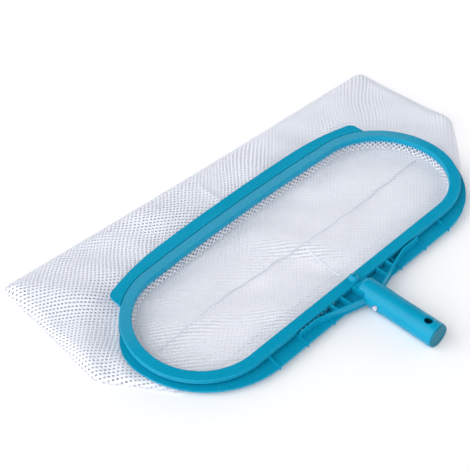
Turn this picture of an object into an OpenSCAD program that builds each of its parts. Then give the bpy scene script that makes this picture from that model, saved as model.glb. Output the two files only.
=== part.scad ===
// Leaf skimmer net: a flat moulded head that slides into a telescopic pole, with a net bag in its mouth.
// The head lies on its bag. +Y points to the leading lip, -Y along the handle, +Z up.
// Origin: on the floor, on the handle's centre plane, below the middle of the mouth.

/* [Mouth] */
// Length of the mouth, across the handle
mouth_length = 451; // [400:1:500]
// Depth of the mouth, along the handle
mouth_depth = 154.5; // [150:0.5:175]
// Radius of the two corners nearest the handle
near_corner_r = 70; // [55:1:74]
// Half the angle through which the far side bows outward, in degrees
bow_a = 3; // [2:0.5:4]
// Height of the frame's underside above the floor
frame_lift = 7; // [6:0.5:7.5]

/* [Clamp ring] */
// Width of the flat ring that clamps the net
ring_width = 13.25; // [11:0.25:16]
// Thickness of the flat ring
ring_t = 3; // [2.4:0.1:3.4]
// Thickness of the skirt round the inside of the ring
skirt_t = 2.2; // [1.6:0.1:2.6]
// How far the skirt reaches down below the flat ring
skirt_drop = 3.5; // [2:0.5:5]
// Rounding of the ring's upper edges
ring_round = 1.2; // [0.6:0.1:1.4]
// Clearance between the netting and the pieces that clamp it
fit_gap = 0.1; // [0.05:0.05:0.15]

/* [Frame] */
// Height of the frame's outer channel, from its underside to the rim's top
channel_h = 8.2; // [7.6:0.1:9.2]
// Thickness of the channel's upright web
web_t = 2.6; // [2:0.1:3.2]
// Thickness of the rim under the clamp ring
rim_t = 2; // [1.6:0.1:2.4]
// Thickness of the bottom flange
flange_t = 2.5; // [2:0.1:2.8]
// How far the channel's foot stands out past the clamp ring
foot_reach = 0.75; // [0.25:0.25:1.5]
// How far the flange stands out past the clamp ring on the handle side
flange_reach = 15; // [11:0.5:16]
// Radius of the flange's corners on the handle side
flange_corner_r = 105; // [100:1:108]
// Radius of the flange's ends where they run back under the clamp ring
flange_end_r = 60; // [52:1:66]
// How far the flange stands out past the clamp ring at its two ends
flange_side = 6; // [4:0.5:8]
// Half the width over which the flange is drawn out to meet the handle
apron_half = 40; // [36:1:50]
// How far the flange and the braces run out past the flange's straight edge at the handle
apron_reach = 6; // [4:0.5:8]
// How far the upper edges of the braces lie below the clamp ring's top
brace_drop = 0.4; // [0.2:0.1:1]
// Thickness of ribs, gussets and braces
rib_t = 1.8; // [1.4:0.1:2.4]
// Spacing of the gussets along the channel
gusset_pitch = 42.5; // [38:0.5:46]
// Distance from the handle's centre plane to the first gusset
gusset_first = 56; // [52:1:60]
// How far the gussets' toes stand out past the flange's edge
gusset_toe = 1.4; // [0.8:0.1:2]
// Distance from the handle's centre plane to where the braces bend to run along the clamp ring
brace_bend = 72; // [66:1:78]
// Distance of that last stretch from the clamp ring
brace_off = 3.3; // [2.5:0.1:4]
// Distance from the handle's centre plane to the first rib behind each brace
brace_rib_first = 30; // [24:1:32]
// Spacing of the ribs behind each brace
brace_rib_pitch = 16; // [12:1:20]

/* [Lip] */
// How far the lip stands out past the clamp ring at its middle
lip_reach = 16; // [12:0.5:20]
// Half the length of the lip
lip_half = 200.5; // [190:0.5:205]
// Thickness of the lip's blade
lip_t = 2.8; // [2.2:0.1:3.4]
// Width of the foot that carries the blade on the rim
lip_foot = 4; // [3:0.5:5]
// Seam between the lip and the clamp ring
lip_seam = 0.3; // [0.2:0.05:0.4]
// Radius of the lip's edge over its long middle
lip_mid_r = 3000; // [2500:100:3600]
// Half the length of that middle
lip_mid_half = 110; // [100:1:120]
// Radius of the lip's edge towards its ends
lip_end_r = 324; // [300:2:360]
// Radius of the lip's corners
lip_tip_r = 10; // [7:0.5:12]
// Bevel along the lip's upper edge
lip_bevel = 0.8; // [0.4:0.1:1.2]

/* [Handle] */
// Outside diameter of the handle tube
tube_d = 28.5; // [27:0.1:29.4]
// Distance from the clamp ring to the handle's closed end
root_gap = 1; // [1:0.5:3]
// Wall thickness of the handle tube
tube_wall = 2.5; // [2:0.1:3]
// Length of the handle tube
tube_length = 105.5; // [99.5:1:126.5]
// Depth of the handle's hollow, from its free end
tube_hollow = 84; // [80:1:86]
// Height of the handle's axis above the floor
tube_axis_z = 14.4; // [14.4:0.1:15]
// Angle at which the handle's closed end slopes down to the clamp ring, in degrees
root_a = 50; // [45:1:60]
// Radius of the bend at the top of that slope
root_bend_r = 4; // [3:0.5:6]
// Half the width of the handle's flat-sided root
root_half = 11.4; // [10.6:0.2:12]
// Length of that root
root_length = 18; // [16:0.5:20]
// Length of the slightly slimmer end that slides into the pole
spigot_length = 64; // [60:0.5:65]
// How much slimmer that end is, on the radius
spigot_draft = 0.25; // [0.2:0.05:0.3]
// Length over which the handle narrows to that end
spigot_taper = 1.5; // [0.5:0.5:2]
// Bevel round the handle's free end
tube_bevel = 0.8; // [0.4:0.1:1.2]
// Diameter of the locking hole across the handle
lock_hole_d = 9.6; // [8.6:0.2:10.4]
// Distance from the free end to the locking hole
lock_hole_from_end = 13; // [12:0.5:15]

/* [Snap buttons] */
// Diameter of each snap button
button_d = 5.6; // [5:0.1:6.2]
// Clearance between a button and its hole, all round
button_gap = 0.4; // [0.3:0.05:0.6]
// How far a button stands out of the handle
button_reach = 2.6; // [2.2:0.1:3.2]
// Distance from the free end to the buttons
button_from_end = 71; // [66:1:73]
// Thickness of the spring strip
spring_t = 1.2; // [0.9:0.1:1.4]
// Width of the spring strip
spring_w = 7; // [6.4:0.1:7.4]
// Gap between the spring strip and the handle's wall
spring_gap = 0.5; // [0.4:0.05:0.7]
// Length of each spring leg, from the bend to its tip
leg_length = 38; // [32:1:42]
// How far a leg runs on past the middle of its button
leg_tail = 5; // [4:0.5:6]
// Rounding of a button's top edge
button_round = 1.4; // [1:0.1:2]
// Diameter of the stem that rivets a button to its leg
stem_d = 3; // [2.4:0.1:3.6]
// Diameter of the stem's riveted head
rivet_d = 4.2; // [4:0.1:4.8]
// Thickness of that head
rivet_t = 0.8; // [0.6:0.1:1]

/* [End plug] */
// Thickness of the plug's cap
plug_cap_t = 2; // [1.5:0.1:3]
// Depth of the plug's skirt inside the handle
plug_depth = 6; // [4:0.5:6]
// Wall thickness of the plug's skirt
plug_wall = 1.8; // [1.4:0.1:2.4]
// Clearance between the plug and the handle
plug_gap = 0.05; // [0.03:0.01:0.1]
// How far the plug's cap stays inside the handle's outside, all round
plug_inset = 1; // [0.9:0.1:1.4]
// Bevel of the cap's edges
plug_bevel = 0.4; // [0.2:0.1:0.6]

/* [Clamp screw] */
// Diameter of the screw's head
head_d = 13; // [11:0.5:13]
// Height of the screw's head
head_h = 5.2; // [4:0.2:5.8]
// Diameter of the screw's shank
shank_d = 5; // [4:0.2:5.6]
// Diameter of the cross-head recess
recess_d = 5; // [4:0.2:6]
// Depth of the cross-head recess
recess_depth = 1.6; // [1:0.1:1.8]
// Width of the recess's slots
recess_slot = 1; // [0.6:0.1:1.4]

/* [Net bag] */
// Thickness of the netting
net_t = 0.6; // [0.4:0.1:0.7]
// Thickness of the bag's under layer where it lies flat
floor_t = 1; // [0.8:0.1:1.2]
// Clearance of the netting from the pieces round it
net_gap = 0.3; // [0.25:0.05:0.4]
// Width of the seam bindings
binding_w = 5; // [3:0.5:8]
// Thickness of the seam bindings
binding_t = 0.5; // [0.4:0.1:0.8]
// How far the bag's folded edge stands above the floor
edge_z = 1.9; // [1.7:0.1:2.6]
// How far the upper layer's folds rise
fold_rise = 2.2; // [1.4:0.2:2.4]
// Spacing of the openings in the bag's layers
mesh_pitch = 50; // [50:1:60]
// Width of the netting left between the openings
mesh_strap = 9; // [7:0.5:12]
// Width of the netting left round the edges and beside the seams
mesh_border = 6; // [5:0.5:8]

/* [Hidden] */
$fn = 96;
far_fn = 2880;
arc_steps = 24;
tip_steps = 8;
round_steps = 4;
eps = 0.01;
hair = 0.00001;

// Corners of the bag as it lies on the floor, in order round the far side, from the right of the handle.
bag_corners = [[236, -54], [312, 19], [306, 162], [-264, 192], [-281, 19], [-230, -55]];
edge_openings = [2, 3, 12, 3, 2];
bottom_seam = [[-208, 3], [-91, 8], [47, -3], [219, -1]];

// Folds of the bag's upper layer: both ends of the crest, share of the full rise, and width.
folds = [[[-205, 112], [-262, 186], 1, 22], [[-240, 92], [-283, 30], 0.6, 18],
    [[-60, 112], [-80, 176], 0.3, 26], [[190, 112], [290, 158], 0.6, 20], [[255, 10], [306, 22], 0.6, 16]];

// A section of the upper layer: shares of the way from the hem's foot to the folded edge, and which of the
// stretches between them are open.
layer_steps = [0, 0.08, 0.28, 0.5, 0.58, 0.76, 0.94, 1];
open_steps = [false, true, true, false, true, true, false];

// Heights
flange_top = frame_lift + flange_t;
rim_top = frame_lift + channel_h;
ring_low = rim_top + net_t + 2 * fit_gap;
ring_top = ring_low + ring_t;

// Mouth: four corner arcs on one line, joined by a straight near side and a slightly bowed far side.
// The far corners' radius is the one that meets the bow without a kink.
corner_y = near_corner_r - mouth_depth / 2;
far_rise = mouth_depth / 2 - corner_y;
far_corner_r = (far_rise - mouth_length / 2 * tan(bow_a / 2)) / (1 - tan(bow_a / 2));
near_x = mouth_length / 2 - near_corner_r;
far_x = mouth_length / 2 - far_corner_r;
bow_r = far_corner_r + far_x / sin(bow_a);
bow_y = mouth_depth / 2 - bow_r;
near_y = -mouth_depth / 2;
centre_seam = [[7, near_y + 15], [10, -8]];

// Offsets outward from the mouth's edge
hem_in = skirt_t + net_gap;
hem_out = hem_in + net_t;
web_in = hem_out + fit_gap;
web_mid = web_in + web_t / 2;

// Flange
flange_y = near_y - ring_width - flange_reach;
flange_x = mouth_length / 2 + ring_width + flange_side;
flange_mid_y = flange_y + flange_corner_r;

// Lip
lip_y = mouth_depth / 2 + ring_width + lip_reach;
lip_in = ring_width + lip_seam;
lip_mid_c = [0, lip_y - lip_mid_r];
lip_break_a = 90 - asin(lip_mid_half / lip_mid_r);
lip_end_c = lip_mid_c + (lip_mid_r - lip_end_r) * [cos(lip_break_a), sin(lip_break_a)];
lip_tip_x = lip_half - lip_tip_r;
lip_tip_y = lip_end_c[1] + sqrt(pow(lip_end_r - lip_tip_r, 2) - pow(lip_tip_x - lip_end_c[0], 2));
lip_tip_a = atan2(lip_tip_y - lip_end_c[1], lip_tip_x - lip_end_c[0]);

// Handle
tube_r = tube_d / 2;
bore_r = tube_r - tube_wall;
spigot_r = tube_r - spigot_draft;
root_y = near_y - ring_width - root_gap;
root_top = ring_top - brace_drop;
root_end_r = root_top - tube_axis_z;
gap_y = near_y - ring_width - lip_seam;
free_y = root_y - tube_length;
button_y = free_y + button_from_end;
lock_y = free_y + lock_hole_from_end;
screw_y = near_y - ring_width / 2;

// Spring: the legs lie as near the wall as their width allows
leg_out = sqrt(bore_r * bore_r - spring_w * spring_w / 4) - spring_gap;
leg_in = leg_out - spring_t;
leg_y1 = button_y + leg_tail;
leg_y0 = leg_y1 - leg_length;

function lerp(a, b, t) = a + (b - a) * t;

// Points of an arc about c, from angle a0 to a1.
function arc(c, r, a0, a1, n) = [for (i = [0:n])
    let (a = lerp(a0, a1, i / n)) c + r * [cos(a), sin(a)]];

// A half outline on +X with its mirror image, as one closed outline.
function both_sides(half) = concat(half, [for (i = [len(half) - 1:-1:0]) [-half[i][0], half[i][1]]]);

// The mouth's outline moved outward by d.
function mouth_points(d) = both_sides(concat(
    arc([near_x, corner_y], near_corner_r + d, -90, 0, arc_steps),
    arc([far_x, corner_y], far_corner_r + d, 0, 90 - bow_a, arc_steps),
    arc([0, bow_y], bow_r + d, 90 - bow_a, 90, tip_steps)));

// An open path moved sideways by d, to its left.
function sideways(points, d) = [for (i = [0:len(points) - 1])
    let (last = len(points) - 1, e = points[max(i, 1)] - points[max(i, 1) - 1],
        f = points[min(i, last - 1) + 1] - points[min(i, last - 1)],
        u = [-e[1], e[0]] / norm(e), v = [-f[1], f[0]] / norm(f)) points[i] + d * (u + v) / (1 + u * v)];

// How far a convex outline, run anticlockwise round the origin, reaches along a direction.
function reach(points, along) = min([for (i = [0:len(points) - 1])
    let (p = points[i], e = points[(i + 1) % len(points)] - p, n = [e[1], -e[0]], rate = n * along)
    if (norm(e) > eps && rate > eps * norm(e)) (n * p) / rate]);

// A strip of the given width laid along an open path.
module strip(points, width) {
    far = sideways(points, -width / 2);
    polygon(concat(sideways(points, width / 2), [for (i = [len(far) - 1:-1:0]) far[i]]));
}

// A closed skin round a sheet, given as rows of points on its upper side. A cell is left open where both its
// row and its column are open.
module sheet(rows, thick, open_rows, open_columns) {
    n = len(rows[0]);
    upper = [for (row = rows) each row];
    corners = [[0, 0], [0, 1], [1, 1], [1, 0]];
    beside = [[-1, 0], [0, 1], [1, 0], [0, -1]];
    function filled(i, j) = i >= 0 && i < len(open_rows) && j >= 0 && j < len(open_columns)
        && !(open_rows[i] && open_columns[j]);
    faces = [for (i = [0:len(open_rows) - 1]) for (j = [0:len(open_columns) - 1]) if (filled(i, j))
        let (a = [for (c = corners) (i + c[0]) * n + j + c[1]], b = [for (k = a) k + len(upper)])
        each concat([[a[0], a[2], a[1]], [a[0], a[3], a[2]], [b[0], b[1], b[2]], [b[0], b[2], b[3]]],
            [for (k = [0:3]) if (!filled(i + beside[k][0], j + beside[k][1]))
                let (m = (k + 1) % 4) each [[a[k], a[m], b[m]], [a[k], b[m], b[k]]]])];
    polyhedron(concat(upper, [for (p = upper) p - [0, 0, thick]]), faces);
}

// Moves in whole and part millimetres, so that a long distance keeps every digit and the arcs meet exactly.
module exact_move(along, distance) {
    whole = floor(distance);
    translate(whole * along) translate((distance - whole) * along) children();
}

// Sweeps a profile, given as offset outward and height, all round the mouth. Each stretch runs into the next
// by a hair, so that they stay joined at every size.
module sweep_mouth() {
    sweep_near() children();
    exact_move([0, 1, 0], bow_y) rotate_extrude(start = 90 - bow_a, angle = 2 * bow_a, $fn = far_fn)
        exact_move([1, 0], bow_r) children();
    for (side = [0, 1]) mirror([side, 0, 0]) exact_move([1, 0, 0], far_x) translate([0, corner_y, 0])
        rotate_extrude(angle = 90 - bow_a + hair) exact_move([1, 0], far_corner_r) children();
}

// Sweeps a profile along the handle side of the mouth and round its two near corners.
module sweep_near() {
    translate([near_x + hair, near_y, 0]) rotate([90, 0, -90]) linear_extrude(2 * near_x + 2 * hair)
        children();
    for (side = [0, 1]) mirror([side, 0, 0]) translate([near_x, corner_y, 0]) rotate([0, 0, -90])
        rotate_extrude(angle = 90 + hair) translate([near_corner_r, 0]) children();
}

module mouth_area(d) {
    polygon(mouth_points(d));
}

// --- Frame ---

module channel_profile() {
    translate([web_in, frame_lift]) square([web_t, channel_h]);
    translate([web_in, frame_lift]) square([ring_width + foot_reach - web_in, flange_t]);
    polygon(concat([[web_in, rim_top - rim_t], [web_in, rim_top]],
        arc([ring_width - rim_t / 2, rim_top - rim_t / 2], rim_t / 2, 90, -90, 2 * round_steps)));
}

function flange_points() = both_sides(concat(
    arc([flange_x - flange_corner_r, flange_mid_y], flange_corner_r, -90, 0, arc_steps),
    arc([flange_x - flange_end_r, flange_mid_y], flange_end_r, 0, 90, arc_steps)));

// The wide flange on the handle side; on the far side it runs back under the clamp ring.
module flange() {
    translate([0, 0, frame_lift]) linear_extrude(flange_t) difference() {
        polygon(flange_points());
        mouth_area(web_mid);
        translate([-mouth_length, corner_y + 0.9 * far_corner_r]) square([2 * mouth_length, mouth_depth]);
    }
}

module gusset(x) {
    rim_y = near_y - ring_width + rim_t;
    translate([x - rib_t / 2, 0, 0]) rotate([90, 0, 90]) linear_extrude(rib_t)
        polygon([[near_y - web_mid, frame_lift + eps], [near_y - web_mid, rim_top - rim_t / 2],
            [rim_y - rim_t, rim_top - rim_t / 2],
            [flange_y - gusset_toe, flange_top], [flange_y - gusset_toe, frame_lift + eps]]);
}

// The brace and its ribs on the right of the handle, all as high as the clamp ring. Past its bend the brace
// runs along the ring to the second gusset.
module brace() {
    start = [tube_r - rib_t, flange_y - apron_reach];
    bend = [brace_bend, near_y - ring_width - brace_off];
    translate([0, 0, frame_lift]) linear_extrude(root_top - frame_lift) {
        strip([start, bend, [gusset_first + gusset_pitch, bend[1]]], rib_t);
        for (i = [0:1]) let (x = brace_rib_first + i * brace_rib_pitch)
            strip([[x, gap_y], [x, lerp(start[1], bend[1], (x - start[0]) / (bend[0] - start[0]))]], rib_t);
    }
    // Feet of the ribs, under the clamp ring
    for (i = [0:1]) translate([brace_rib_first + i * brace_rib_pitch - rib_t / 2, gap_y - eps, frame_lift])
        cube([rib_t, ring_width - web_in, channel_h - rim_t / 2]);
    // Apron of the flange, drawn out to the handle
    translate([0, 0, frame_lift]) linear_extrude(flange_t)
        polygon([[0, flange_y + rib_t], [apron_half, flange_y + rib_t], [apron_half, flange_y + eps],
            [tube_r, flange_y - apron_reach - rib_t / 2], [0, flange_y - apron_reach - rib_t / 2]]);
}

// Upper outline of the lip, drawn in by inset.
function lip_points(inset) = both_sides(concat(
    [[lip_half - inset, 0]],
    arc([lip_tip_x, lip_tip_y], lip_tip_r - inset, 0, lip_tip_a, tip_steps),
    arc(lip_end_c, lip_end_r - inset, lip_tip_a, lip_break_a, tip_steps),
    arc(lip_mid_c, lip_mid_r - inset, lip_break_a, 90, tip_steps)));

module lip_area(inset, from) {
    difference() {
        polygon(lip_points(inset));
        mouth_area(from);
        translate([-mouth_length, -eps]) square([2 * mouth_length, corner_y + 0.8 * far_corner_r]);
    }
}

// The lip: a thin blade level with the clamp ring, carried on a foot along the rim.
module lip() {
    translate([0, 0, ring_top - lip_bevel]) linear_extrude(lip_bevel) lip_area(lip_bevel, lip_in);
    translate([0, 0, ring_top - lip_t]) linear_extrude(lip_t - lip_bevel + eps) lip_area(0, lip_in);
    translate([0, 0, rim_top - rim_t]) {
        linear_extrude(rim_t) lip_foot_area(lip_in - rim_t);
        linear_extrude(ring_top - lip_t - rim_top + rim_t + eps) lip_foot_area(lip_in);
    }
}

module lip_foot_area(from) {
    intersection() {
        lip_area(lip_bevel, from);
        mouth_area(lip_in + lip_foot);
    }
}

// The handle tube, turned about its own axis: open at its free end, closed at its root, where it has flat
// sides and slopes down to the clamp ring.
module handle() {
    step = tube_length - spigot_length;
    full = (tube_r - root_end_r - root_bend_r * (1 - cos(root_a))) / tan(root_a) + root_bend_r * sin(root_a);
    difference() {
        translate([0, root_y, tube_axis_z]) rotate([90, 0, 0]) rotate_extrude() polygon(concat(
            [[0, 0], [root_end_r, 0]],
            arc([tube_r - root_bend_r, full], root_bend_r, -root_a, 0, round_steps),
            [[tube_r, step - spigot_taper], [spigot_r, step], [spigot_r, tube_length - tube_bevel],
                [spigot_r - tube_bevel, tube_length], [bore_r, tube_length],
                [bore_r, tube_length - tube_hollow], [0, tube_length - tube_hollow]]));
        for (side = [0, 1]) mirror([side, 0, 0]) translate([root_half, root_y - root_length, 0])
            cube([tube_r, 2 * root_length, 2 * tube_axis_z]);
    }
}

// The block that joins the handle's root to the channel, and into which the screw bites.
module root_block() {
    half = root_half - fit_gap;
    low_y = root_y - root_length - rib_t;
    translate([-half, low_y, frame_lift]) cube([2 * half, gap_y - low_y, root_top - frame_lift]);
    translate([-half, gap_y - eps, frame_lift])
        cube([2 * half, near_y - web_mid - gap_y, channel_h - rim_t / 2]);
}

module frame() {
    color("#0a9fc2") difference() {
        union() {
            sweep_mouth() channel_profile();
            flange();
            for (side = [0, 1]) mirror([side, 0, 0]) {
                for (i = [0:2]) gusset(gusset_first + i * gusset_pitch);
                brace();
            }
            lip();
            handle();
            root_block();
        }
        translate([0, screw_y, frame_lift + flange_t]) cylinder(h = channel_h, d = shank_d + 2 * plug_gap);
        translate([0, lock_y, tube_axis_z - tube_d]) cylinder(h = 2 * tube_d, d = lock_hole_d);
        translate([-tube_d, button_y, tube_axis_z]) rotate([0, 90, 0])
            cylinder(h = 2 * tube_d, d = button_d + 2 * button_gap);
    }
}

// --- Clamp ring and its screw ---

module ring_profile() {
    polygon(concat([[0, ring_low - skirt_drop], [skirt_t, ring_low - skirt_drop], [skirt_t, ring_low],
        [ring_width, ring_low]],
        arc([ring_width - ring_round, ring_top - ring_round], ring_round, 0, 90, round_steps),
        arc([ring_round, ring_top - ring_round], ring_round, 90, 180, round_steps)));
}

module clamp_ring() {
    color("#0aa3c6") difference() {
        sweep_mouth() ring_profile();
        translate([0, screw_y, 0]) cylinder(h = 2 * ring_top, d = shank_d + 2 * fit_gap);
    }
}

module clamp_screw() {
    dome_r = (head_d * head_d / 4 + head_h * head_h) / (2 * head_h);
    tip = flange_top + 2 * net_gap - ring_top;
    color("#0b93b8") translate([0, screw_y, ring_top]) difference() {
        union() {
            intersection() {
                translate([0, 0, head_h - dome_r]) sphere(r = dome_r);
                cylinder(h = 2 * head_h, d = head_d);
            }
            translate([0, 0, tip]) cylinder(h = eps - tip, d = shank_d);
        }
        translate([0, 0, head_h - recess_depth]) for (turn = [0, 90]) rotate([0, 0, turn])
            translate([-recess_d / 2, -recess_slot / 2, 0]) cube([recess_d, recess_slot, head_h]);
    }
}

// --- End plug ---

module end_plug() {
    r = bore_r - plug_gap;
    cap_r = tube_r - plug_inset;
    recess_r = r - plug_wall;
    color("#12748f") translate([0, free_y, tube_axis_z]) rotate([-90, 0, 0]) rotate_extrude() polygon([
        [0, plug_bevel - plug_cap_t], [0, 0], [recess_r, 0], [recess_r, plug_depth],
        [r, plug_depth], [r, -eps], [cap_r, -eps],
        [cap_r, plug_bevel - plug_cap_t], [cap_r - plug_bevel, -plug_cap_t],
        [recess_r, -plug_cap_t], [recess_r - plug_bevel, plug_bevel - plug_cap_t]]);
}

// --- Snap buttons and their spring ---

module spring_bend() {
    color("#e8eef2") translate([0, leg_y0 - net_gap, tube_axis_z - spring_w / 2])
        rotate([0, 0, 180]) rotate_extrude(angle = 180) translate([leg_in, 0]) square([spring_t, spring_w]);
}

module spring_leg() {
    color("#e8eef2") difference() {
        translate([leg_in, leg_y0, tube_axis_z - spring_w / 2]) cube([spring_t, leg_length, spring_w]);
        translate([0, button_y, tube_axis_z]) rotate([0, 90, 0])
            cylinder(h = tube_d, d = stem_d + 2 * plug_gap);
    }
}

module right_spring_leg() {
    spring_leg();
}

module left_spring_leg() {
    mirror([1, 0, 0]) spring_leg();
}

// A domed button on the outside of its leg, with a stem riveted over on the inside.
module button() {
    r = button_d / 2;
    tip = tube_r + button_reach - leg_out;
    color("#e6e4f4") translate([leg_out, button_y, tube_axis_z]) rotate([0, 90, 0]) rotate_extrude()
        polygon(concat([[0, tip]],
            arc([r - button_round, tip - button_round], button_round, 90, 0, round_steps),
            [[r, 0], [stem_d / 2, 0], [stem_d / 2, -spring_t], [rivet_d / 2, -spring_t],
                [rivet_d / 2, -spring_t - rivet_t], [0, -spring_t - rivet_t]]));
}

module right_button() {
    button();
}

module left_button() {
    mirror([1, 0, 0]) button();
}

// --- Net bag ---

// The bag's hem: down the inside of the channel's web and out over its rim, clamped by the ring.
module net_hem() {
    color("#eef0f6") difference() {
        sweep_mouth() {
            translate([hem_in, frame_lift - net_t])
                square([net_t, rim_top - frame_lift + 2 * net_t + fit_gap]);
            translate([hem_in, rim_top + fit_gap]) square([ring_width - hem_in, net_t]);
        }
        translate([0, screw_y, rim_top]) cylinder(h = ring_top, d = shank_d + 2 * net_gap);
    }
}

// The near side of the bag, straight down from the hem to the floor.
module net_near_wall() {
    low = floor_t + net_gap;
    high = frame_lift - net_t - net_gap;
    color("#e4e6ee") intersection() {
        sweep_near() translate([hem_in, low]) square([net_t, high - low]);
        translate([0, -2 * net_gap, 0]) linear_extrude(frame_lift)
            polygon([[0, 0], bag_corners[0], [mouth_length, -mouth_length], [-mouth_length, -mouth_length],
                bag_corners[len(bag_corners) - 1]]);
    }
}

// Outline of the under layer: the bag's corners, and the foot of the near wall.
module bag_area() {
    polygon(bag_corners);
    mouth_area(hem_out);
}

// An outline run anticlockwise, with its straight sides moved inward by d.
function inset(points, d) = [for (i = [0:len(points) - 1])
    let (n = len(points), p = points[i], e = p - points[(i + n - 1) % n], f = points[(i + 1) % n] - p,
        u = [-e[1], e[0]] / norm(e), v = [-f[1], f[0]] / norm(f)) p + d * (u + v) / (1 + u * v)];

// The bag's mesh, as a plain grid of square openings with a strap on each axis of the part.
module mesh_openings() {
    for (i = [-6:5]) for (j = [-2:3]) translate([(i + 0.5) * mesh_pitch, (j + 0.5) * mesh_pitch])
        square(mesh_pitch - mesh_strap, center = true);
}

module net_under_layer() {
    color("#f2f3f8") linear_extrude(floor_t) difference() {
        bag_area();
        difference() {
            intersection() {
                mesh_openings();
                union() {
                    polygon(inset(bag_corners, mesh_border));
                    mouth_area(hem_in - mesh_border);
                }
            }
            strip(bottom_seam, binding_w + mesh_border);
            strip(centre_seam, binding_w + mesh_border);
        }
    }
}

// Points round the bag's edge, at both ends of every opening, and which of the stretches between are open.
bag_edge = concat([for (i = [0:len(edge_openings) - 1])
    let (a = bag_corners[i], b = bag_corners[i + 1], strap = mesh_strap / norm(b - a), n = edge_openings[i])
    each concat([a], [for (j = [0:n - 1]) let (t = strap + j * (1 - strap) / n)
        each [lerp(a, b, t), lerp(a, b, t + (1 - strap) / n - strap)]])], [bag_corners[len(edge_openings)]]);
open_edge = [for (n = edge_openings) for (k = [0:2 * n]) k % 2 == 1];

// Height of the folds at a point, as a share of the full rise.
function fold(p) = [for (f = folds)
    let (crest = f[1] - f[0], t = max(0, min(1, (p - f[0]) * crest / (crest * crest))),
        off = norm(p - f[0] - t * crest) / f[3]) f[2] * exp(-off * off)] * [for (f = folds) 1];

// The upper layer: from the hem's foot outward below the frame, over its folds, down to the folded edge.
module net_upper_layer() {
    inner = mouth_points(hem_in);
    top = frame_lift - net_t - net_gap;
    color("#eceef5") sheet([for (p = bag_edge)
        let (q = p / norm(p) * reach(inner, p / norm(p)), e = lerp(p, q, 0.004))
        [for (t = layer_steps) let (m = lerp(q, e, t), share = t < 1 ? fold(m) : 0)
            [m[0], m[1], min(top, lerp(top, edge_z, t) + fold_rise * share)]]],
        net_t, open_edge, open_steps);
}

// The flat binding of a seam, laid on the under layer.
module binding(points) {
    translate([0, 0, floor_t]) linear_extrude(binding_t) strip(points, binding_w);
}

module bottom_seam_binding() {
    color("#dfe3ec") binding(bottom_seam);
}

module centre_seam_binding() {
    color("#dfe3ec") binding(centre_seam);
}

frame();
clamp_ring();
clamp_screw();
end_plug();
spring_bend();
left_spring_leg();
right_spring_leg();
left_button();
right_button();
net_hem();
net_near_wall();
net_under_layer();
net_upper_layer();
bottom_seam_binding();
centre_seam_binding();
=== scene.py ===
import math

import bpy
import numpy as np
from bpy.props import FloatProperty, FloatVectorProperty, PointerProperty
from mathutils import Matrix, Vector


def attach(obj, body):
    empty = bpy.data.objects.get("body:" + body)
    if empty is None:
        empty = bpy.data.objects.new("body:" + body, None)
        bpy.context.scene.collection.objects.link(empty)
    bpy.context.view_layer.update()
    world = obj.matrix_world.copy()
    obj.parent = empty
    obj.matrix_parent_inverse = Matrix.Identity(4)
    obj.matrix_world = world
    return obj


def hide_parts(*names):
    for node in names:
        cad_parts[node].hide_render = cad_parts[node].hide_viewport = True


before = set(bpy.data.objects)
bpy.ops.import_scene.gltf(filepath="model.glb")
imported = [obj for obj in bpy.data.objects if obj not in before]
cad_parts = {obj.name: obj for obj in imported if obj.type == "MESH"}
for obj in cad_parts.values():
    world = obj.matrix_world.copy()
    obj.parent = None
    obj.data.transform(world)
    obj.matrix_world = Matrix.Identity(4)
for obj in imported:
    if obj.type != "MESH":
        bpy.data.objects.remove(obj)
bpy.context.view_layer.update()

bl_info = {
    "name": "Leaf Skimmer Net",
    "version": (1, 0, 0),
    "blender": (4, 5, 0),
    "location": "3D View > Sidebar > Skimmer",
    "description": "Dresses the skimmer head with its netting, seams and moulded finishes",
    "category": "Object",
}

MM = 0.001


# --- Sizes and colours that a user may change ---

class NettingSettings(bpy.types.PropertyGroup):
    """Cut and colour of the net bag."""

    pitch_across: FloatProperty(
        name="Hole Pitch Across", description="Distance between holes in one row, along the mouth",
        default=6.45 * MM, min=0.001, max=0.02, subtype="DISTANCE", unit="LENGTH", precision=5)
    pitch_along: FloatProperty(
        name="Hole Pitch Along", description="Distance between a row of holes and the next but one",
        default=5.42 * MM, min=0.001, max=0.02, subtype="DISTANCE", unit="LENGTH", precision=5)
    hole_long: FloatProperty(
        name="Hole Length", description="Length of a hole along the bias, as a share of its cell",
        default=0.78, min=0.3, max=0.9, subtype="FACTOR")
    hole_wide: FloatProperty(
        name="Hole Width", description="Width of a hole across the bias, as a share of its cell",
        default=0.5, min=0.3, max=0.9, subtype="FACTOR")
    wall_hole: FloatProperty(
        name="Wall Hole", description="Size of a hole in the wall round the mouth, as a share of its cell",
        default=0.8, min=0.3, max=0.9, subtype="FACTOR")
    thread_rise: FloatProperty(
        name="Thread Rise", description="How far the middle of a thread stands above its edges",
        default=0.32 * MM, min=0.0, max=0.001, subtype="DISTANCE", unit="LENGTH", precision=5)
    fold_height: FloatProperty(
        name="Fold Height", description="Height of the tallest soft fold in the bag's upper layer",
        default=4.5 * MM, min=0.0, max=0.01, subtype="DISTANCE", unit="LENGTH", precision=5)
    slack: FloatProperty(
        name="Slack", description="How high the bag's under layer ripples above the floor",
        default=4.8 * MM, min=0.0, max=0.01, subtype="DISTANCE", unit="LENGTH", precision=5)
    colour: FloatVectorProperty(
        name="Thread Colour", description="Colour of the netting's threads",
        default=(0.84, 0.865, 0.945), min=0.0, max=1.0, size=3, subtype="COLOR")
    seam_colour: FloatVectorProperty(
        name="Seam Colour", description="Colour of the sewn seams",
        default=(0.80, 0.84, 0.95), min=0.0, max=1.0, size=3, subtype="COLOR")


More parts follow.
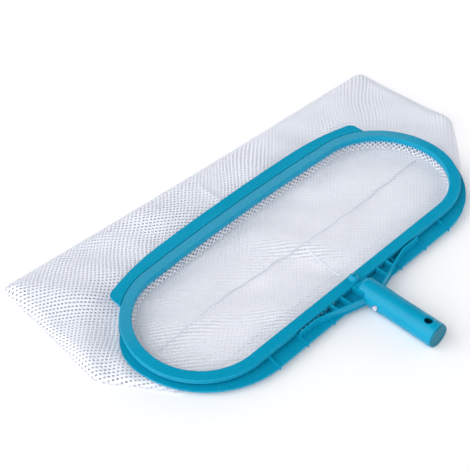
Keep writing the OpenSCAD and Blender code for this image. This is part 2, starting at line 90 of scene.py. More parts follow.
class MouldingSettings(bpy.types.PropertyGroup):
    """Finishes of the moulded and metal pieces."""

    head_colour: FloatVectorProperty(
        name="Head Colour", description="Colour of the moulded frame and clamp ring",
        default=(0.0, 0.292, 0.475), min=0.0, max=1.0, size=3, subtype="COLOR")
    plug_colour: FloatVectorProperty(
        name="Plug Colour", description="Colour of the plug in the handle's end",
        default=(0.006, 0.165, 0.25), min=0.0, max=1.0, size=3, subtype="COLOR")
    button_colour: FloatVectorProperty(
        name="Button Colour", description="Colour of the snap buttons",
        default=(0.52, 0.52, 0.66), min=0.0, max=1.0, size=3, subtype="COLOR")
    spring_colour: FloatVectorProperty(
        name="Spring Colour", description="Colour of the strip spring",
        default=(0.62, 0.63, 0.64), min=0.0, max=1.0, size=3, subtype="COLOR")
    head_roughness: FloatProperty(
        name="Head Roughness", description="Mean roughness of the moulded head",
        default=0.27, min=0.0, max=1.0, subtype="FACTOR")
    ring_crown: FloatProperty(
        name="Ring Crown", description="Slope, in degrees, by which the clamp ring's top falls away outward",
        default=12.0, min=0.0, max=20.0)


class StudioSettings(bpy.types.PropertyGroup):
    """Floor, light and camera."""

    floor_size: FloatProperty(
        name="Floor Size", description="Side of the floor",
        default=9.0, min=1.0, max=40.0, subtype="DISTANCE", unit="LENGTH")
    floor_colour: FloatVectorProperty(
        name="Floor Colour", description="Colour of the floor",
        default=(0.97, 0.97, 0.985), min=0.0, max=1.0, size=3, subtype="COLOR")
    sky_strength: FloatProperty(
        name="Fill Light", description="Strength of the even light from all round",
        default=1.9, min=0.0, max=5.0)
    side_light: FloatProperty(
        name="Side Light", description="Strength added by the broad soft light at the side",
        default=0.8, min=0.0, max=10.0)
    strip_light: FloatProperty(
        name="Strip Light", description="Strength of the low narrow light behind the head",
        default=0.7, min=0.0, max=10.0)
    dark_cloth: FloatProperty(
        name="Dark Cloth",
        description="How much light the dark cloth high up opposite the camera takes away",
        default=0.97, min=0.0, max=1.0, subtype="FACTOR")
    key_power: FloatProperty(
        name="Key Light", description="Power of the large soft lamp",
        default=4.0, min=0.0, max=500.0, subtype="POWER", unit="POWER")
    lens: FloatProperty(
        name="Focal Length", description="Focal length of the camera",
        default=98.49, min=20.0, max=300.0, subtype="DISTANCE_CAMERA")


# --- Shader expressions ---

class Value:
    """A shader socket that takes part in Python arithmetic; each operation adds a Math node."""

    def __init__(self, nodes, socket):
        self.nodes = nodes
        self.socket = socket

    def _maths(self, operation, *values):
        return self.nodes.node("ShaderNodeMath", {"operation": operation}, *values)[0]

    def __add__(self, other):
        return self._maths("ADD", self, other)

    def __sub__(self, other):
        return self._maths("SUBTRACT", self, other)

    def __rsub__(self, other):
        return self._maths("SUBTRACT", other, self)

    def __mul__(self, other):
        return self._maths("MULTIPLY", self, other)

    def clamp(self):
        return self._maths("MAXIMUM", self._maths("MINIMUM", self, 1.0), 0.0)

    __radd__ = __add__
    __rmul__ = __mul__


class Nodes:
    """Adds nodes to the tree of a material or world."""

    def __init__(self, tree, coordinates):
        self.tree = tree
        self.place = self.node("ShaderNodeTexCoord", {})[coordinates]

    def node(self, kind, settings, *values, **named):
        """Adds a node: its settings come first, then values or links, in order or by socket name."""
        made = self.tree.nodes.new(kind)
        for key, value in settings.items():
            setattr(made, key, value)
        inputs = [*zip(range(len(values)), values), *((k.replace("_", " "), v) for k, v in named.items())]
        for key, value in inputs:
            socket = made.inputs[key]
            if isinstance(value, Value):
                self.tree.links.new(value.socket, socket)
            else:
                socket.default_value = value
        return Outputs(self, made)

    def noise(self, scale, detail=3.0, place=None, roughness=0.5):
        return self.node("ShaderNodeTexNoise", {}, Vector=place or self.place,
                         Scale=scale, Detail=detail, Roughness=roughness)["Fac"]

    def vector(self, operation, *values):
        return self.node("ShaderNodeVectorMath", {"operation": operation}, *values)["Vector"]

    def stretched(self, scale):
        """The object's coordinates, scaled differently along each axis."""
        return self.vector("MULTIPLY", self.place, scale)

    def bands(self, direction, scale, **named):
        return self.node("ShaderNodeTexWave", {"wave_type": "BANDS", "bands_direction": direction},
                         Vector=self.place, Scale=scale, **named)["Fac"]

    def mix(self, share, first, second):
        """A colour between two, either of which may vary; the Mix node's sockets are found by place."""
        node = self.node("ShaderNodeMix", {"data_type": "RGBA"}).made
        for index, value in ((0, share), (6, first), (7, second)):
            if isinstance(value, Value):
                self.tree.links.new(value.socket, node.inputs[index])
            else:
                node.inputs[index].default_value = value if index == 0 else (*value, 1.0)[:4]
        return Value(self, node.outputs[2])

    def bump(self, height, distance, under=None):
        """A normal raised by height times distance, in metres, on top of another normal if one is given."""
        named = {"Height": height, "Distance": distance, "Strength": 1.0}
        if under is not None:
            named["Normal"] = under
        return self.node("ShaderNodeBump", {}, **named)["Normal"]


class Finish(Nodes):
    """One procedural material with a Principled shader."""

    def __init__(self, name, **constants):
        self.material = bpy.data.materials.new(name)
        self.material.use_nodes = True
        super().__init__(self.material.node_tree, "Object")
        self.shader = self.tree.nodes["Principled BSDF"]
        for socket, value in constants.items():
            self.shader.inputs[socket.replace("_", " ")].default_value = value

    def set(self, **sockets):
        """Links what varies over the surface to the shader."""
        for name, value in sockets.items():
            self.tree.links.new(value.socket, self.shader.inputs[name.replace("_", " ")])
        return self.material


class Outputs:
    """The outputs of a node, by name or by place."""

    def __init__(self, nodes, made):
        self.nodes = nodes
        self.made = made

    def __getitem__(self, key):
        return Value(self.nodes, self.made.outputs[key])


def shade(colour, share, add=0.0):
    """A lighter or darker tone of a colour."""
    return tuple(min(1.0, c * share + add) for c in colour)


def moulded_plastic(name, colour, roughness, grain=1.0, crown=0.0):
    """Satin moulded plastic: faint flow marks, a fine mould grain, and soft scuffs that dull it. crown is
    the slope, in degrees, by which a flat top falls away outward from the middle of the head.
    """
    finish = Finish(name, IOR=1.46, Specular_IOR_Level=0.2)
    flow = finish.noise(1.0, 4.0, finish.stretched((9.0, 26.0, 40.0)))
    grain_height = finish.noise(2400.0, 2.0)
    scuff = finish.noise(1.0, 6.0, finish.stretched((160.0, 420.0, 300.0)), 0.7)
    scuffed = ((scuff - 0.56) * 5.0).clamp()
    base = finish.mix(flow, shade(colour, 0.93), shade(colour, 1.06, 0.004))
    base = finish.mix(scuffed * 0.12, base, shade(colour, 1.0, 0.12))
    shape = None
    if crown:
        # How far out a point lies beyond the straight middle of the mouth; the round ends fall away less.
        beyond = finish.vector("SUBTRACT", finish.vector("ABSOLUTE", finish.place), (NEAR_X * MM, 0, 0))
        beyond = finish.vector("MULTIPLY", finish.vector("MAXIMUM", beyond, (0, 0, 0)), (0.3, 1, 0))
        out = finish.node("ShaderNodeVectorMath", {"operation": "LENGTH"}, beyond)["Value"]
        shape = finish.bump(out * -math.tan(math.radians(crown)), 1.0)
    return finish.set(
        Base_Color=base,
        Roughness=(flow - 0.5) * 0.12 + scuffed * 0.1 + roughness,
        Normal=finish.bump(grain_height * 0.6 + scuff * 0.4, 0.00006 * grain, under=shape))


def thread_cloth(name, colour):
    """Spun polyester netting: fibres twisted along each thread, with a little uneven whiteness."""
    finish = Finish(name, IOR=1.5, Specular_IOR_Level=0.25, Sheen_Weight=0.08, Sheen_Roughness=0.4)
    patchy = finish.noise(28.0, 3.0)
    fibre = finish.bands("DIAGONAL", 900.0, Distortion=5.0, Detail=2.0, Detail_Scale=1.6)
    fluff = finish.noise(3800.0, 2.0)
    base = finish.mix(patchy * 0.6 + fluff * 0.4, shade(colour, 0.94), shade(colour, 1.05))
    return finish.set(
        Base_Color=base,
        Roughness=fluff * 0.2 + 0.62,
        Normal=finish.bump(fibre * 0.6 + fluff * 0.4, 0.00005))


def sewn_tape(name, colour):
    """Woven seam tape: fine crossing ribs."""
    finish = Finish(name, IOR=1.5, Sheen_Weight=0.3, Sheen_Roughness=0.5)
    woven = finish.bands("X", 520.0, Distortion=0.6) * finish.bands("Y", 520.0, Distortion=0.6)
    patchy = finish.noise(60.0, 4.0)
    base = finish.mix(woven * 0.5 + patchy * 0.5, shade(colour, 0.86), colour)
    return finish.set(Base_Color=base, Roughness=woven * 0.15 + 0.65, Normal=finish.bump(woven, 0.00005))


def spring_steel(name, colour):
    """Rolled stainless strip, brushed along its length."""
    finish = Finish(name, IOR=2.5, Metallic=1.0)
    brushed = finish.noise(1.0, 4.0, finish.stretched((900.0, 30.0, 2600.0)))
    base = finish.mix(brushed, shade(colour, 0.8), colour)
    return finish.set(Base_Color=base, Roughness=brushed * 0.22 + 0.2, Normal=finish.bump(brushed, 0.00003))


# --- Shape of the bag, in millimetres ---

MOUTH_LENGTH = 451.0
MOUTH_DEPTH = 154.5

# The mouth's edge is round at both ends and bows outward on its far side. The near corners turn about
# (NEAR_X, CORNER_Y), the far ones about (FAR_X, CORNER_Y), and the far side about (0, BOW_Y).
NEAR_R = 70.0
BOW = math.radians(3.0)
CORNER_Y = NEAR_R - MOUTH_DEPTH / 2
NEAR_X = MOUTH_LENGTH / 2 - NEAR_R
FAR_R = (MOUTH_DEPTH / 2 - CORNER_Y - MOUTH_LENGTH / 2 * math.tan(BOW / 2)) / (1 - math.tan(BOW / 2))
FAR_X = MOUTH_LENGTH / 2 - FAR_R
BOW_R = FAR_R + FAR_X / math.sin(BOW)
BOW_Y = MOUTH_DEPTH / 2 - BOW_R

# The bag's corners as it lies, and how far each side from one corner to the next bulges inward.
BAG_CORNERS = ((236, -54), (312, 19), (306, 162), (-264, 192), (-281, 19), (-230, -55))
BAG_BULGES = (-1.5, 2.0, 2.0, 0.5, 1.5, 0.0)

# The wall from the clamped hem to the floor: distance outward from the mouth's edge, and height.
WALL_PROFILE = (
    (12.7, 15.45), (9.0, 15.45), (4.4, 15.45), (3.5, 15.38), (3.0, 15.1), (2.82, 14.6), (2.7, 13.2),
    (2.55, 12.4), (2.1, 11.4), (1.5, 9.9), (0.9, 7.9), (0.2, 5.9), (-0.9, 4.1), (-2.6, 2.7), (-5.2, 1.9))
WALL_OUT = 2.6  # where the layers of the bag meet the wall, outward from the mouth's edge

# The hem's edge pokes out near the handle: where along the mouth's near side, how far, and down to where.
NEAR_SIDE = -60
LOOSE_HEM = (-95, -38)
POKE = 1.5
POKE_DOWN = 2.5

UNDER_Z = 0.6  # rest height of the under layer
RIPPLE_FADE = 12  # the ripples grow over this distance from the edge
WALL_FADE = 14  # and over this one from the wall
LAYER_GAP = 0.35  # least gap between the two layers
LAYER_LIFT = 1.5  # how far the upper layer rises above that
LIFT_FADE = 7  # it rises over this distance from the folded edge
FOLD_START, FOLD_FADE = 8, 22  # its folds begin this far from the mouth, and grow over this distance
EDGE_FOLD = 1.3  # width of the folded edge
UPPER_HOLE = 0.74  # hole size in the upper layer, as a share of that in the mouth
UNDER_SHRINK = 0.6  # how much smaller the under layer's holes get beyond the mouth
SHRINK_START, SHRINK_FADE = 4, 10  # they shrink from this distance beyond it, over this one
EDGE_KEEP = 0.8  # how far outside the edge a cell's middle may lie
UNDER_MARGIN, UPPER_MARGIN = 6, 20  # netting drawn beyond the outline before it is trimmed
UPPER_TURN = math.radians(2.0)  # turn of the upper layer's threads against the under layer's
UPPER_SHIFT = 31.0  # shift of the waves in the upper layer's threads against the under layer's

LEAST_SIDE = 10.0  # narrowest side of a sheet
SEAM_STEP = 2.0  # distance between points along a seam
SEAM_LIFT = 0.3  # height of a seam's edges above the under layer
SEAM_RISE = 0.6  # height of its middle above its edges
# Each seam: its path, its width, and how light its tape is, as a share of the seam colour; the bottom seam's
# 0.8 darkens its tape as painted shade of the fold along it.
SEAMS = {
    "bottom_seam": (((-208, 3), (-91, 8), (47, -3), (219, -1)), 1.7, 0.8),
    "centre_seam": (((7, -62), (10, -8)), 2.8, 1),
}

# Each fold of the upper layer: two ends of its crest, its height as a share of the tallest, and its width.
FOLDS = (
    ((-232, 92), (-283, 30), 0.55, 16),
    ((-205, 112), (-262, 186), 0.9, 20),
    ((-150, 118), (-205, 186), 0.5, 18),
    ((-228, 70), (-272, 110), 0.4, 15),
    ((-238, 20), (-262, -10), 0.5, 14),
    ((-60, 112), (-80, 176), 0.25, 26),
    ((60, 110), (60, 170), 0.2, 26),
    ((0, 92), (2, 150), 0.3, 4),
    ((190, 105), (290, 158), 0.5, 18),
    ((250, 60), (306, 90), 0.4, 16),
    ((246, 10), (306, 22), 0.6, 14),
    ((240, -20), (262, -20), 0.4, 12),
)


def mouth_rim(steps=240):
    """A closed loop along the mouth's edge: points, outward normals, and the length run so far."""
    def turn(cx, cy, r, start, end):
        a = np.linspace(start, end, steps)
        out = np.stack([np.cos(a), np.sin(a)], 1)
        return np.array([cx, cy]) + r * out, out

    quarter = math.pi / 2
    stretches = [
        turn(NEAR_X, CORNER_Y, NEAR_R, -quarter, 0),
        turn(FAR_X, CORNER_Y, FAR_R, 0, quarter - BOW),
        turn(0, BOW_Y, BOW_R, quarter - BOW, quarter + BOW),
        turn(-FAR_X, CORNER_Y, FAR_R, quarter + BOW, 2 * quarter),
        turn(-NEAR_X, CORNER_Y, NEAR_R, 2 * quarter, 3 * quarter)]
    points = np.concatenate([s[0] for s in stretches] + [stretches[0][0][:1]])
    normals = np.concatenate([s[1] for s in stretches] + [stretches[0][1][:1]])
    run = np.concatenate([[0], np.cumsum(np.linalg.norm(np.diff(points, axis=0), axis=1))])
    return points, normals, run


def smooth(t):
    """A soft step: 0 up to t = 0, and 1 from t = 1."""
    t = np.clip(t, 0, 1)
    return t * t * (3 - 2 * t)


def bag_outline():
    """The bag's outline, with slightly slack sides and rounded corners, as a closed loop of points."""
    corners = np.array(BAG_CORNERS, float)
    spacing = 6
    points = []
    for corner, following, bulge in zip(corners, np.roll(corners, -1, 0), BAG_BULGES):
        side = following - corner
        length = np.linalg.norm(side)
        outward = np.array([side[1], -side[0]]) / length
        t = np.linspace(0, 1, max(3, int(length / spacing)), endpoint=False)[:, None]
        points.append(corner + side * t - outward * bulge * np.sin(np.pi * t))
    loop = np.concatenate(points)
    for _ in range(2):
        loop = loop * 0.5 + (np.roll(loop, 1, 0) + np.roll(loop, -1, 0)) * 0.25
    return loop


def to_loop(points, loop):
    """How far inside a closed loop each point lies (outside is negative), and the nearest point on it."""
    tiny = 1e-12
    best = np.full(len(points), 1e9)
    near = np.zeros_like(points)
    odd = np.zeros(len(points), bool)
    for p, q in zip(loop, np.roll(loop, -1, 0)):
        side = q - p
        t = np.clip(((points - p) @ side) / max(side @ side, tiny), 0, 1)
        foot = p + t[:, None] * side
        far = np.linalg.norm(points - foot, axis=1)
        closer = far < best
        best = np.where(closer, far, best)
        near = np.where(closer[:, None], foot, near)
        crosses = (p[1] > points[:, 1]) != (q[1] > points[:, 1])
        at = p[0] + (points[:, 1] - p[1]) * side[0] / (side[1] or tiny)
        odd ^= crosses & (points[:, 0] < at)
    return np.where(odd, best, -best), near


def net_cells(low, high, settings, long, wide, wrap=None):
    """Flat netting between two corners: cell middles, and each cell's outer and inner hexagon. The holes are
    long along the bias and wide across it, as shares of the cell. wrap is the length of netting that closes
    on itself.
    """
    a, b = settings.pitch_across / MM, settings.pitch_along / MM
    if wrap:
        a = wrap / round(wrap / a)
    x, y = a / 2, b / 2
    side, end = (x * x + y * y) / (2 * x), (x * x - y * y) / (2 * x)
    hexagon = np.array([(side, 0), (end, y), (-end, y), (-side, 0), (-end, -y), (end, -y)])
    bias, cross = (np.array(v) / math.hypot(x, y) for v in ((-x, y), (y, x)))
    hole = long * np.outer(bias, bias) + wide * np.outer(cross, cross)
    rows = np.arange(math.floor(low[1] / y), math.ceil(high[1] / y) + 1)
    middles = []
    for row in rows:
        shift = x if row % 2 else 0.0
        first, last = math.ceil((low[0] - shift) / a), math.floor((high[0] - shift) / a)
        if wrap:
            first, last = 0, round(wrap / a) - 1
        columns = np.arange(first, last + 1)
        middles.append(np.stack([columns * a + shift, np.full(len(columns), row * y)], 1))
    middles = np.concatenate(middles)
    return middles, middles[:, None] + hexagon, middles[:, None] + hexagon @ hole


def net_threads(outer, inner, place, rise, wrap=None):
    """Netting as points and faces: each thread is a ridge between two holes. place takes flat points and a
    height.
    """
    flat = outer.reshape(-1, 2)
    key = flat.copy()
    if wrap:
        key[:, 0] = np.mod(key[:, 0] + 1e-4, wrap)
    # Corners within 0.005 mm of each other are one corner, shared by the cells that meet there.
    _, index, corner = np.unique(np.round(key * 200).astype(int), axis=0, return_index=True,
                                 return_inverse=True)
    corner = corner.reshape(-1, 6)
    tops = place(flat[index], rise)
    edges = place(inner.reshape(-1, 2), 0.0)
    hole = len(tops) + np.arange(len(edges)).reshape(-1, 6)
    faces = []
    for k in range(6):
        n = (k + 1) % 6
        faces.append(np.stack([corner[:, k], corner[:, n], hole[:, n], hole[:, k]], 1))
    return np.concatenate([tops, edges]), np.concatenate(faces)


def mesh_piece(name, *shapes):
    """A smooth-shaded object from one or more pairs of points in millimetres and faces."""
    points, faces, start = [], [], 0
    for shape_points, shape_faces in shapes:
        points.append(np.asarray(shape_points) * MM)
        faces.append(np.asarray(shape_faces) + start)
        start += len(shape_points)
    mesh = bpy.data.meshes.new(name)
    mesh.from_pydata(np.concatenate(points).tolist(), [], np.concatenate(faces).tolist())
    mesh.validate()
    mesh.polygons.foreach_set("use_smooth", [True] * len(mesh.polygons))
    mesh.update()
    made = bpy.data.objects.new(name, mesh)
    bpy.context.scene.collection.objects.link(made)
    return made


def fold_height(points):
    """Soft folds of the upper layer, from 0 to about 1."""
    total = np.zeros(len(points))
    for start, end, tall, width in FOLDS:
        a, b = np.array(start, float), np.array(end, float)
        side = b - a
        t = ((points - a) @ side) / (side @ side)
        off = np.linalg.norm(points - (a + np.clip(t, 0, 1)[:, None] * side), axis=1)
        total += tall * np.exp(-((off / width) ** 2)) * smooth(1.25 - np.abs(t - 0.5) * 1.2)
    ripple = np.sin(points[:, 0] / 23 + np.sin(points[:, 1] / 31) * 1.7) * np.sin(points[:, 1] / 19 + 1.1)
    return total + 0.12 * ripple


class Lay:
    """How the bag lies: its outline, the mouth above it, and the heights of its two layers."""

    def __init__(self, settings):
        self.outline = bag_outline()
        rim, normals, _ = mouth_rim(40)
        self.mouth = (rim + normals * WALL_OUT)[:-1]
        self.slack = settings.slack / MM
        self.fold = settings.fold_height / MM

    def ripple(self, points):
        """Shallow waves of a slack sheet, from 0 to 1."""
        x, y = points[:, 0], points[:, 1]
        wave = (np.sin(x / 24 + 1.9 * np.sin(y / 31 + 0.4)) + np.sin(y / 17 + 1.4 * np.sin(x / 37))
                + 0.8 * np.sin((x + y) / 12.5 + 1.6 * np.sin((x - y) / 43)))
        return np.clip(0.5 + wave / 5.2, 0, 1)

    def under(self, points):
        """Height of the under layer: it ripples, and lies flat below the wall and along the edge."""
        depth = to_loop(points, self.outline)[0]
        inside = to_loop(points, self.mouth)[0]
        from_wall = np.abs(inside)
        free = smooth((np.maximum(depth, inside) - 1) / RIPPLE_FADE)
        clear = 1 - np.exp(-((from_wall / WALL_FADE) ** 2))
        return UNDER_Z + self.slack * self.ripple(points) * free * clear

    def upper(self, points):
        """Height of the upper layer, above the under layer and folded over it."""
        depth = to_loop(points, self.outline)[0]
        out = -to_loop(points, self.mouth)[0]
        lift = smooth(np.clip(depth, 0, None) / LIFT_FADE)
        folds = self.fold * fold_height(points) * smooth((out - FOLD_START) / FOLD_FADE)
        return self.under(points) + LAYER_GAP + lift * (LAYER_LIFT + np.maximum(folds, -1.0))


def strip_faces(rows, count, closed=False):
    """Faces between rows of count points each; a closed row's last point is joined to its first."""
    return [(r * count + i, r * count + (i + 1) % count,
             (r + 1) * count + (i + 1) % count, (r + 1) * count + i)
            for r in range(rows - 1) for i in range(count if closed else count - 1)]


def warp(points):
    """Shifts points within the sheet, as a slack net is pulled out of square."""
    x, y = points[:, 0], points[:, 1]
    return points + np.column_stack([
        2.3 * np.sin(x / 29 + 1.3 * np.sin(y / 23)) + 1.1 * np.sin(y / 13 + x / 47),
        1.9 * np.sin(y / 27 + 1.6 * np.sin(x / 33)) + 1.0 * np.sin(x / 15 - y / 39)])


# --- Studio, in metres and degrees ---

CAMERA_AT = (-0.7849, -0.6597, 1.0128)
CAMERA_RIGHT = (0.6923, -0.7216, 0.0)
CAMERA_UP = (0.5005, 0.4802, 0.7204)
LAMP_AT = (-1.6, 0.2, 1.9)  # it faces the middle of the mouth
LAMP_SIZE = 1.4

# Each patch of the surrounding light: azimuth and elevation of its middle, and how far from there it ends
# and how far it is full.
DARK_CLOTH = (25, 66, 43, 37)
FAR_CLOTH = (75, -5, 75, 48)
NEAR_FLAG = (280, 15, 70, 25)
SIDE_LIGHT = (150, 26, 38, 20)
STRIP_LIGHT = (56, 20, 20, 10)
FAR_SHARE = 0.6  # how much light the far cloth takes away
NEAR_SHARE = 0.45  # how much light the near flag takes away


# --- Operators ---

class SKIMMER_OT_studio(bpy.types.Operator):
    """Make the floor, the soft light and the camera"""

    bl_idname = "skimmer.studio"
    bl_label = "Studio"

    def execute(self, context):
        settings = context.scene.skimmer_studio
        half = settings.floor_size / 2
        mesh = bpy.data.meshes.new("floor")
        mesh.from_pydata([(-half, -half, 0), (half, -half, 0), (half, half, 0), (-half, half, 0)], [],
                         [(0, 1, 2, 3)])
        floor = bpy.data.objects.new("floor", mesh)
        context.scene.collection.objects.link(floor)
        finish = Finish("floor_paper", Specular_IOR_Level=0.1)
        tone = tuple(settings.floor_colour)
        paper = finish.noise(30.0, 4.0)
        mesh.materials.append(finish.set(
            Base_Color=finish.mix(paper, shade(tone, 0.995), tone), Roughness=paper * 0.1 + 0.85))

        world = bpy.data.worlds.new("studio")
        world.use_nodes = True
        background = world.node_tree.nodes["Background"]
        background.inputs["Color"].default_value = (1.0, 1.0, 1.0, 1.0)
        sky = Nodes(world.node_tree, "Generated")

        def patch(azimuth, elevation, edge, middle):
            """1 towards one side of the studio, falling to 0 round it; all angles in degrees."""
            a, e = math.radians(azimuth), math.radians(elevation)
            aim = (math.cos(a) * math.cos(e), math.sin(a) * math.cos(e), math.sin(e))
            facing = sky.node("ShaderNodeVectorMath", {"operation": "DOT_PRODUCT"}, sky.place, aim)["Value"]
            return sky.node("ShaderNodeMapRange", {"interpolation_type": "SMOOTHSTEP"}, facing,
                            math.cos(math.radians(edge)), math.cos(math.radians(middle)))["Result"]

        light = (
            settings.sky_strength
            * (1 - patch(*DARK_CLOTH) * settings.dark_cloth)
            * (1 - patch(*FAR_CLOTH) * FAR_SHARE)
            * (1 - patch(*NEAR_FLAG) * NEAR_SHARE)
            + patch(*SIDE_LIGHT) * settings.side_light
            + patch(*STRIP_LIGHT) * settings.strip_light)
        world.node_tree.links.new(light.socket, background.inputs["Strength"])
        context.scene.world = world

        data = bpy.data.lights.new("key_lamp", "AREA")
        data.shape, data.size, data.energy = "SQUARE", LAMP_SIZE, settings.key_power
        lamp = bpy.data.objects.new("key_lamp", data)
        lamp.location = LAMP_AT
        lamp.rotation_euler = (-lamp.location).to_track_quat("-Z", "Y").to_euler()
        context.scene.collection.objects.link(lamp)

        data = bpy.data.cameras.new("camera")
        data.lens = settings.lens
        data.sensor_width = 36.0
        data.clip_start = 0.01
        camera = bpy.data.objects.new("camera", data)
        right, up = Vector(CAMERA_RIGHT), Vector(CAMERA_UP)
        turned = Matrix((right, up, right.cross(up))).transposed().to_4x4()
        turned.translation = CAMERA_AT
        camera.matrix_world = turned
        context.scene.collection.objects.link(camera)
        context.scene.camera = camera
        context.scene.view_settings.view_transform = "Standard"
        return {"FINISHED"}


def finish_node(name, material):
    """Gives a CAD node its finish."""
    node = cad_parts[name]
    node.data.materials.clear()
    node.data.materials.append(material)


class SKIMMER_OT_head(bpy.types.Operator):
    """Finish the moulded frame, the clamp ring and its screw"""

    bl_idname = "skimmer.head"
    bl_label = "Head"

    def execute(self, context):
        settings = context.scene.skimmer_moulding
        colour = tuple(settings.head_colour)
        plastic = moulded_plastic("head_plastic", colour, settings.head_roughness)
        finish_node("frame", plastic)
        finish_node("clamp_screw", plastic)
        finish_node("clamp_ring", moulded_plastic("ring_plastic", colour, settings.head_roughness,
                                                  crown=settings.ring_crown))
        return {"FINISHED"}


class SKIMMER_OT_fittings(bpy.types.Operator):
    """Finish the end plug, the snap buttons and their spring"""

    bl_idname = "skimmer.fittings"
    bl_label = "Handle Fittings"

    def execute(self, context):
        settings = context.scene.skimmer_moulding
        finish_node("end_plug", moulded_plastic("plug_plastic", tuple(settings.plug_colour), 0.5))
        button = moulded_plastic("button_plastic", tuple(settings.button_colour), 0.3, 0.4)
        for name in ("left_button", "right_button"):
            finish_node(name, button)
        steel = spring_steel("spring_steel", tuple(settings.spring_colour))
        for name in ("spring_bend", "left_spring_leg", "right_spring_leg"):
            finish_node(name, steel)
        return {"FINISHED"}


def netting_finish(context):
    """The threads' material, which the net's three pieces share."""
    found = bpy.data.materials.get("spun_thread")
    return found or thread_cloth("spun_thread", tuple(context.scene.skimmer_netting.colour))


def dress(made, material, *nodes, slot="netting"):
    """Gives a new piece its finish and its body, and hides the CAD nodes that it stands for."""
    made.data.materials.append(material)
    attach(made, "head")
    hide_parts(*nodes)
    return made


class SKIMMER_OT_hem(bpy.types.Operator):
    """Hang the net's wall from the clamped hem, all round the mouth"""

    bl_idname = "skimmer.hem"
    bl_label = "Hem"

    def execute(self, context):
        settings = context.scene.skimmer_netting
        points, normals, run = mouth_rim()
        whole = run[-1]
        profile = np.array(WALL_PROFILE)
        reach = np.concatenate([[0], np.cumsum(np.linalg.norm(np.diff(profile, axis=0), axis=1))])
        middles, outer, inner = net_cells((0, settings.pitch_along / MM / 2), (whole, reach[-1]),
                                          settings, settings.wall_hole, settings.wall_hole, whole)
        keep = (middles[:, 1] > 0) & (middles[:, 1] < reach[-1])
        slope = np.gradient(profile, reach, axis=0)
        slope /= np.linalg.norm(slope, axis=1)[:, None]

        def place(flat, height):
            along, down = np.mod(flat[:, 0], whole), np.clip(flat[:, 1], 0, reach[-1])
            base = np.stack([np.interp(along, run, points[:, i]) for i in (0, 1)], 1)
            out = np.stack([np.interp(along, run, normals[:, i]) for i in (0, 1)], 1)
            out /= np.linalg.norm(out, axis=1)[:, None]
            loose = (base[:, 1] < NEAR_SIDE) & (base[:, 0] > LOOSE_HEM[0]) & (base[:, 0] < LOOSE_HEM[1])
            d = np.interp(down, reach, profile[:, 0]) + POKE * np.exp(-((down / POKE_DOWN) ** 2)) * loose
            d = d + np.interp(down, reach, slope[:, 1]) * height
            z = np.interp(down, reach, profile[:, 1]) - np.interp(down, reach, slope[:, 0]) * height
            return np.column_stack([base + out * d[:, None], z])

        threads = net_threads(outer[keep], inner[keep], place, settings.thread_rise / MM, whole)
        made = mesh_piece("net_hem_mesh", threads)
        dress(made, netting_finish(context), "net_hem", "net_near_wall")
        whole * MM
        return {"FINISHED"}


class SKIMMER_OT_under_layer(bpy.types.Operator):
    """Lay the bag's under layer on the floor"""

    bl_idname = "skimmer.under_layer"
    bl_label = "Under Layer"

    def execute(self, context):
        settings = context.scene.skimmer_netting
        lay = Lay(settings)
        low = np.minimum(lay.outline.min(0), lay.mouth.min(0))
        high = lay.outline.max(0)
        cells = net_cells(low - UNDER_MARGIN, high + UNDER_MARGIN, settings, settings.hole_long,
                          settings.hole_wide)
        middles, outer, inner = (warp(p.reshape(-1, 2)).reshape(p.shape) for p in cells)
        inside = to_loop(middles, lay.mouth)[0]
        keep = np.maximum(to_loop(middles, lay.outline)[0], inside) > -EDGE_KEEP
        drawn = 1 - UNDER_SHRINK * smooth((-inside - SHRINK_START) / SHRINK_FADE)
        inner = middles[:, None] + (inner - middles[:, None]) * drawn[:, None, None]

        def place(points, height):
            depth, near = to_loop(points, lay.outline)
            mouth_depth, mouth_near = to_loop(points, lay.mouth)
            outside = (depth < 0) & (mouth_depth < 0)
            nearer = (mouth_depth > depth)[:, None]
            flat = np.where(outside[:, None], np.where(nearer, mouth_near, near), points)
            return np.column_stack([flat, lay.under(flat) + height])

        threads = net_threads(outer[keep], inner[keep], place, settings.thread_rise / MM)
        made = mesh_piece("net_under_layer_mesh", threads)
        dress(made, netting_finish(context), "net_under_layer")
        size = high - low
        open_share = settings.hole_long * settings.hole_wide * drawn[keep] ** 2
        size[0] * MM
        size[1] * MM
        return {"FINISHED"}


class SKIMMER_OT_upper_layer(bpy.types.Operator):
    """Lay the bag's upper layer from below the frame to the folded edge"""

    bl_idname = "skimmer.upper_layer"
    bl_label = "Upper Layer"

    def execute(self, context):
        settings = context.scene.skimmer_netting
        lay = Lay(settings)
        low, high = lay.outline.min(0), lay.outline.max(0)
        c, s = math.cos(UPPER_TURN), math.sin(UPPER_TURN)
        spin = np.array([[c, s], [-s, c]])
        cells = net_cells(low - UPPER_MARGIN, high + UPPER_MARGIN, settings,
                          settings.hole_long * UPPER_HOLE, settings.hole_wide * UPPER_HOLE)
        middles, outer, inner = (warp(p.reshape(-1, 2) @ spin + UPPER_SHIFT).reshape(p.shape) - UPPER_SHIFT
                                 for p in cells)
        keep = (to_loop(middles, lay.outline)[0] > -EDGE_KEEP) & (to_loop(middles, lay.mouth)[0] < 0)

        def place(points, height):
            depth, near = to_loop(points, lay.outline)
            points = np.where((depth < 0)[:, None], near, points)
            out, near = to_loop(points, lay.mouth)
            points = np.where((out > 0)[:, None], near, points)
            return np.column_stack([points, lay.upper(points) + height])

        threads = net_threads(outer[keep], inner[keep], place, settings.thread_rise / MM)
        made = mesh_piece("net_upper_layer_mesh", threads, folded_edge(lay))
        dress(made, netting_finish(context), "net_upper_layer")
        size = high - low
        size[0] * MM
        size[1] * MM
        return {"FINISHED"}


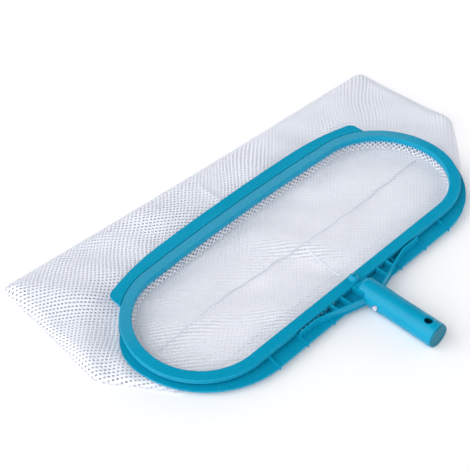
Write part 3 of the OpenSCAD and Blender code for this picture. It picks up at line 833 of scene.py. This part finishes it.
def folded_edge(lay):
    """The rounded fold that joins the two layers along the bag's outline."""
    loop = lay.outline
    ahead = np.roll(loop, -1, 0) - np.roll(loop, 1, 0)
    ahead /= np.linalg.norm(ahead, axis=1)[:, None]
    inward = np.column_stack([-ahead[:, 1], ahead[:, 0]])
    rows = []
    # From below the edge, at 0.46 mm, outward round it and back over the upper layer, at 1.4 mm.
    for turn in np.linspace(-0.5, 1.0, 7) * math.pi:
        share = 0.55 - math.cos(turn * 0.5) * 0.5 - 0.1 * math.sin(turn)
        at = loop + inward * (EDGE_FOLD * share)
        rows.append(np.column_stack([at, np.full(len(at), 0.85 + 0.55 * math.sin(turn * 0.5))]))
    return np.concatenate(rows), strip_faces(len(rows), len(loop), closed=True)


def seam_strip(name, path, width, lay):
    """A narrow rounded strip along a seam, and its length. It waves slightly and sinks into the net in
    places, as a sewn edge does.
    """
    corners = np.array(path, float)
    run = np.concatenate([[0], np.cumsum(np.linalg.norm(np.diff(corners, axis=0), axis=1))])
    s = np.arange(0, run[-1], SEAM_STEP)
    line = np.stack([np.interp(s, run, corners[:, i]) for i in (0, 1)], 1)
    for _ in range(30):
        line[1:-1] = line[1:-1] * 0.5 + (line[:-2] + line[2:]) * 0.25
    ahead = np.gradient(line, axis=0)
    ahead /= np.linalg.norm(ahead, axis=1)[:, None]
    side = np.stack([-ahead[:, 1], ahead[:, 0]], 1)
    wobble = 0.5 * np.sin(s / 5.5) + 0.6 * np.sin(s / 13 + 1.2 * np.sin(s / 29))
    sunk = 0.5 * np.clip(np.sin(s / 31 + 1.1 * np.sin(s / 17)), 0, 1)
    rows = []
    for a in np.linspace(-1, 1, 9):
        at = line + side * (a * width / 2 + wobble)[:, None]
        lift = SEAM_LIFT - sunk + SEAM_RISE * (1 - a * a) ** 0.5 + 0.06 * np.sin(s * 1.3 + a)
        rows.append(np.column_stack([at, lay.under(at) + lift]))
    return mesh_piece(name, (np.concatenate(rows), strip_faces(len(rows), len(s)))), run[-1]


class SKIMMER_OT_seams(bpy.types.Operator):
    """Sew the seams that show inside the mouth"""

    bl_idname = "skimmer.seams"
    bl_label = "Seams"

    def execute(self, context):
        settings = context.scene.skimmer_netting
        lay = Lay(settings)
        for name, (path, width, light) in SEAMS.items():
            made, length = seam_strip(name + "_strip", path, width, lay)
            # A share below 1, as on the bottom seam, darkens the tape as painted shade of the fold along the
            # seam.
            tape = sewn_tape(name + "_tape", shade(settings.seam_colour, light))
            dress(made, tape, name + "_binding", slot="binding")
            # Both strips are narrower than LEAST_SIDE. These are the least values that can be declared.
            max(width, 0.3 * LEAST_SIDE) * length * MM * MM
        return {"FINISHED"}


class SKIMMER_PT_panel(bpy.types.Panel):
    """Lists the skimmer's pieces and settings"""

    bl_label = "Leaf Skimmer Net"
    bl_idname = "SKIMMER_PT_panel"
    bl_space_type = "VIEW_3D"
    bl_region_type = "UI"
    bl_category = "Skimmer"

    def draw(self, context):
        for group in (context.scene.skimmer_netting, context.scene.skimmer_moulding,
                      context.scene.skimmer_studio):
            box = self.layout.box()
            for name in group.__annotations__:
                box.prop(group, name)
        for step in STEPS:
            self.layout.operator(step.bl_idname)


STEPS = (SKIMMER_OT_studio, SKIMMER_OT_head, SKIMMER_OT_fittings, SKIMMER_OT_hem, SKIMMER_OT_under_layer,
         SKIMMER_OT_upper_layer, SKIMMER_OT_seams)
CLASSES = (NettingSettings, MouldingSettings, StudioSettings, *STEPS, SKIMMER_PT_panel)


def register():
    for cls in CLASSES:
        bpy.utils.register_class(cls)
    bpy.types.Scene.skimmer_netting = PointerProperty(type=NettingSettings)
    bpy.types.Scene.skimmer_moulding = PointerProperty(type=MouldingSettings)
    bpy.types.Scene.skimmer_studio = PointerProperty(type=StudioSettings)


def unregister():
    del bpy.types.Scene.skimmer_netting
    del bpy.types.Scene.skimmer_moulding
    del bpy.types.Scene.skimmer_studio
    for cls in reversed(CLASSES):
        bpy.utils.unregister_class(cls)


def main():
    register()
    bpy.ops.skimmer.studio()
    bpy.ops.skimmer.head()
    bpy.ops.skimmer.fittings()
    bpy.ops.skimmer.hem()
    bpy.ops.skimmer.under_layer()
    bpy.ops.skimmer.upper_layer()
    bpy.ops.skimmer.seams()


if __name__ == "__main__":
    main()
